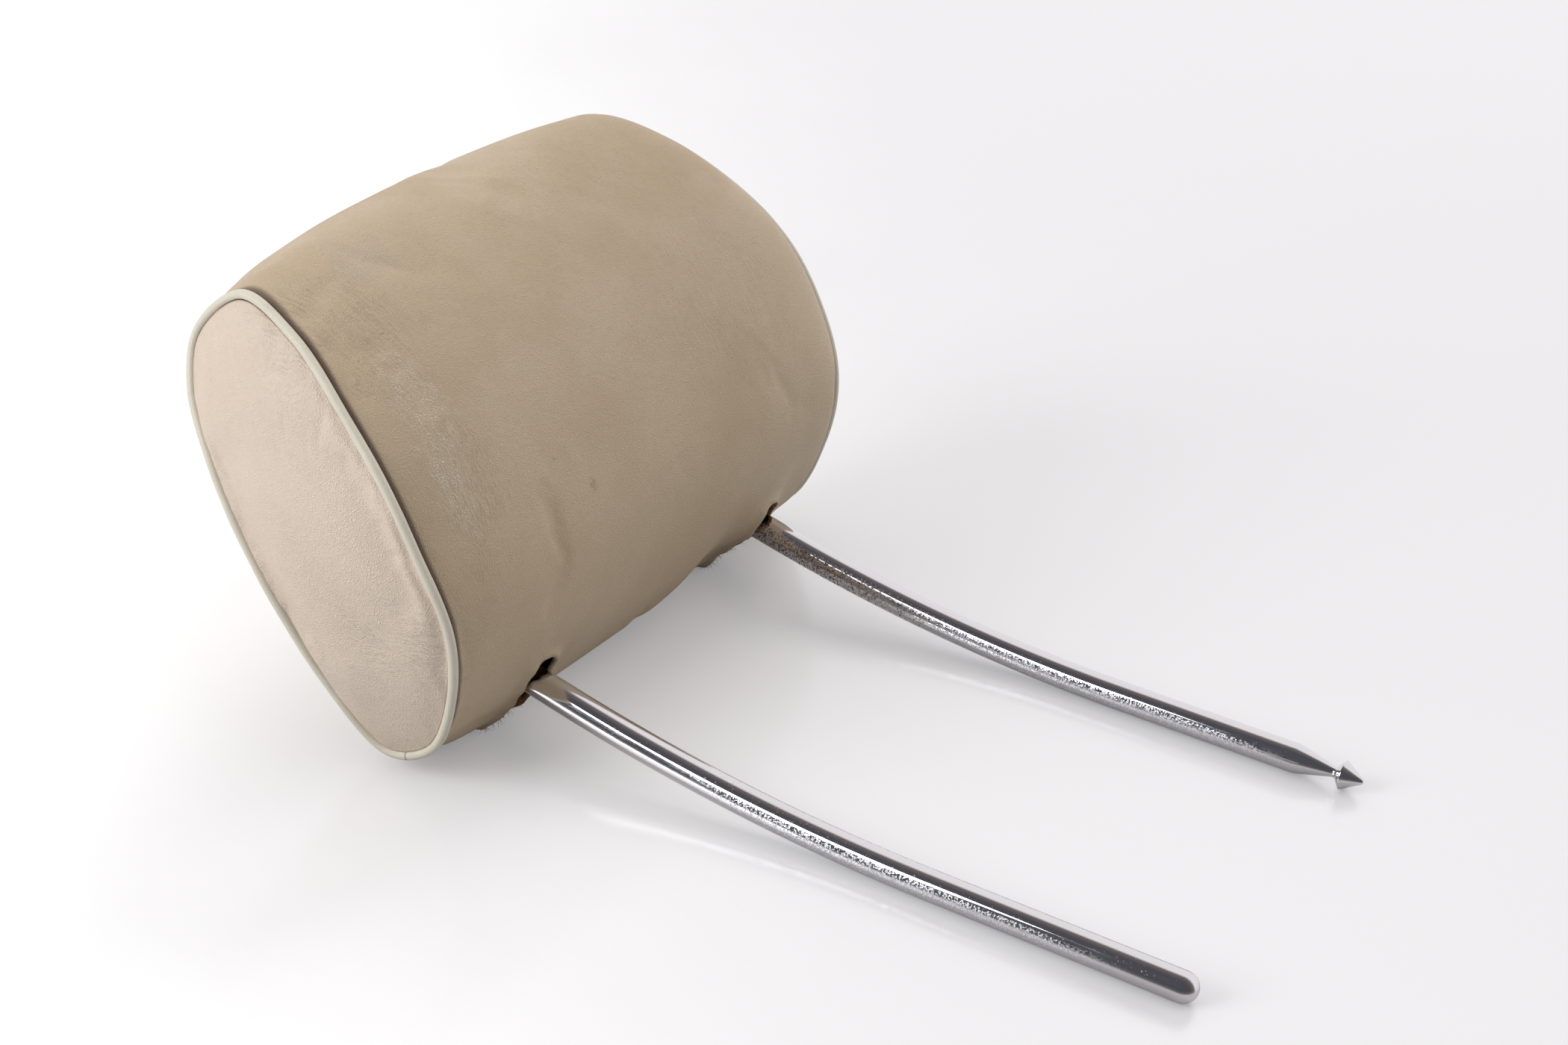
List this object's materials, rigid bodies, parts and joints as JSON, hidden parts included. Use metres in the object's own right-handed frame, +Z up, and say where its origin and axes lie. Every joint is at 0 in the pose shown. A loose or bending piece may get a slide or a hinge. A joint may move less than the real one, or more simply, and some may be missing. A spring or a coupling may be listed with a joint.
{
  "type": "car headrest",
  "caption": "Oval leather headrest cushion with piped end panels that tilts on a bent chrome bar with two curved posts, one with a pointed catch.",
  "frame": {"origin": "middle of the footprint, on the plane that the part lies on", "axes": "+X across the seat, -Y the way the posts point, +Z up from the table"},
  "size_m": [0.3028, 0.4222, 0.189],
  "materials": {
    "chrome_steel": "bright chrome plate, pitted, with small rust specks",
    "band_leather": "fine pebbled grain, worn and slightly shiny",
    "panel_leather": "fine pebbled grain",
    "piping_leather": "smooth",
    "foam": "open-cell foam",
    "black_steel": "black paint",
    "zinc_steel": "zinc plated",
    "liner_plastic": "matt"
  },
  "bodies": {
    "posts": {"support_bar": "chrome_steel"},
    "cushion": {"cover_band": "band_leather", "end_panel_left": "panel_leather", "end_panel_right": "panel_leather", "piping_left": "piping_leather", "piping_right": "piping_leather", "foam_core": "foam", "carrier_plate": "black_steel", "clamp_front_left": "zinc_steel", "clamp_front_right": "zinc_steel", "clamp_rear_left": "zinc_steel", "clamp_rear_right": "zinc_steel", "friction_liner_left": "liner_plastic", "friction_liner_right": "liner_plastic", "clamp_screw_upper_left": "zinc_steel", "clamp_screw_lower_left": "zinc_steel", "clamp_screw_upper_right": "zinc_steel", "clamp_screw_lower_right": "zinc_steel", "spring_washer_upper_left": "zinc_steel", "spring_washer_lower_left": "zinc_steel", "spring_washer_upper_right": "zinc_steel", "spring_washer_lower_right": "zinc_steel", "clamp_nut_upper_left": "zinc_steel", "clamp_nut_lower_left": "zinc_steel", "clamp_nut_upper_right": "zinc_steel", "clamp_nut_lower_right": "zinc_steel"}
  },
  "joints": [
    {"name": "cushion_tilt", "type": "hinge", "parent": "posts", "child": "cushion", "pos_m": [0, 0.10593, 0.03449], "axis": [1, 0, 0], "range_deg": [-48, 6]}
  ]
}
